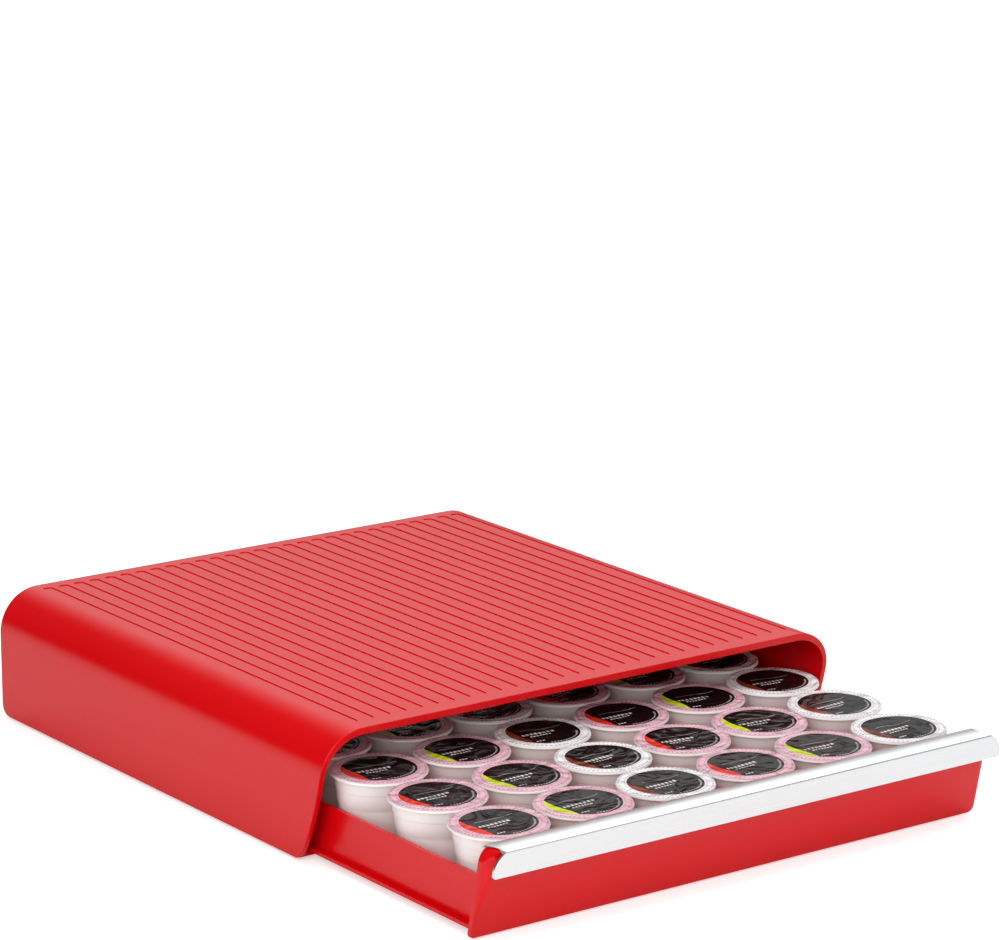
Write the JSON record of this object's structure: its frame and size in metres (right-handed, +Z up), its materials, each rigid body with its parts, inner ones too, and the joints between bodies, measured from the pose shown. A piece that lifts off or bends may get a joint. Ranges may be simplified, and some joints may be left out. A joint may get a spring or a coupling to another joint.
{
  "type": "coffee pod drawer",
  "caption": "Low red cover for a worktop with a sliding pod drawer, silver handle trim and rows of pods, drawn partly open.",
  "frame": {"origin": "middle of the whole part's footprint on the worktop, with the drawer pulled out 144 mm", "axes": "+Z up, -Y the way the drawer opens, +X to the right seen from the front"},
  "size_m": [0.338, 0.4774, 0.0745],
  "materials": {
    "red_plastic": "gloss",
    "silver_trim": "brushed",
    "rubber": "matt",
    "cup_plastic": "satin",
    "foil_red": "printed satin",
    "foil_green": "printed satin",
    "foil_brown": "printed satin"
  },
  "bodies": {
    "cover_body": {"cover": "red_plastic", "pad_front_left": "rubber", "pad_front_right": "rubber", "pad_rear_left": "rubber", "pad_rear_right": "rubber"},
    "drawer_body": {"drawer_tray": "red_plastic", "handle_trim": "silver_trim", "pod_cup_r1c1": "cup_plastic", "pod_cup_r1c2": "cup_plastic", "pod_cup_r1c3": "cup_plastic", "pod_cup_r1c4": "cup_plastic", "pod_cup_r1c5": "cup_plastic", "pod_cup_r1c6": "cup_plastic", "pod_cup_r2c1": "cup_plastic", "pod_cup_r2c2": "cup_plastic", "pod_cup_r2c3": "cup_plastic", "pod_cup_r2c4": "cup_plastic", "pod_cup_r2c5": "cup_plastic", "pod_cup_r2c6": "cup_plastic", "pod_cup_r3c1": "cup_plastic", "pod_cup_r3c2": "cup_plastic", "pod_cup_r3c3": "cup_plastic", "pod_cup_r3c4": "cup_plastic", "pod_cup_r3c5": "cup_plastic", "pod_cup_r3c6": "cup_plastic", "pod_cup_r4c1": "cup_plastic", "pod_cup_r4c2": "cup_plastic", "pod_cup_r4c3": "cup_plastic", "pod_cup_r4c4": "cup_plastic", "pod_cup_r4c5": "cup_plastic", "pod_cup_r4c6": "cup_plastic", "pod_cup_r5c1": "cup_plastic", "pod_cup_r5c2": "cup_plastic", "pod_cup_r5c3": "cup_plastic", "pod_cup_r5c4": "cup_plastic", "pod_cup_r5c5": "cup_plastic", "pod_cup_r5c6": "cup_plastic", "pod_cup_r6c1": "cup_plastic", "pod_cup_r6c2": "cup_plastic", "pod_cup_r6c3": "cup_plastic", "pod_cup_r6c4": "cup_plastic", "pod_cup_r6c5": "cup_plastic", "pod_cup_r6c6": "cup_plastic", "pod_lids_c1": "foil_red", "pod_lids_c2": "foil_green", "pod_lids_c3": "foil_brown", "pod_lids_c4": "foil_red", "pod_lids_c5": "foil_green", "pod_lids_c6": "foil_brown"}
  },
  "joints": [
    {"name": "drawer_slide", "type": "slide", "parent": "cover_body", "child": "drawer_body", "axis": [0, -1, 0], "range_m": [-0.144, 0.1385]}
  ]
}
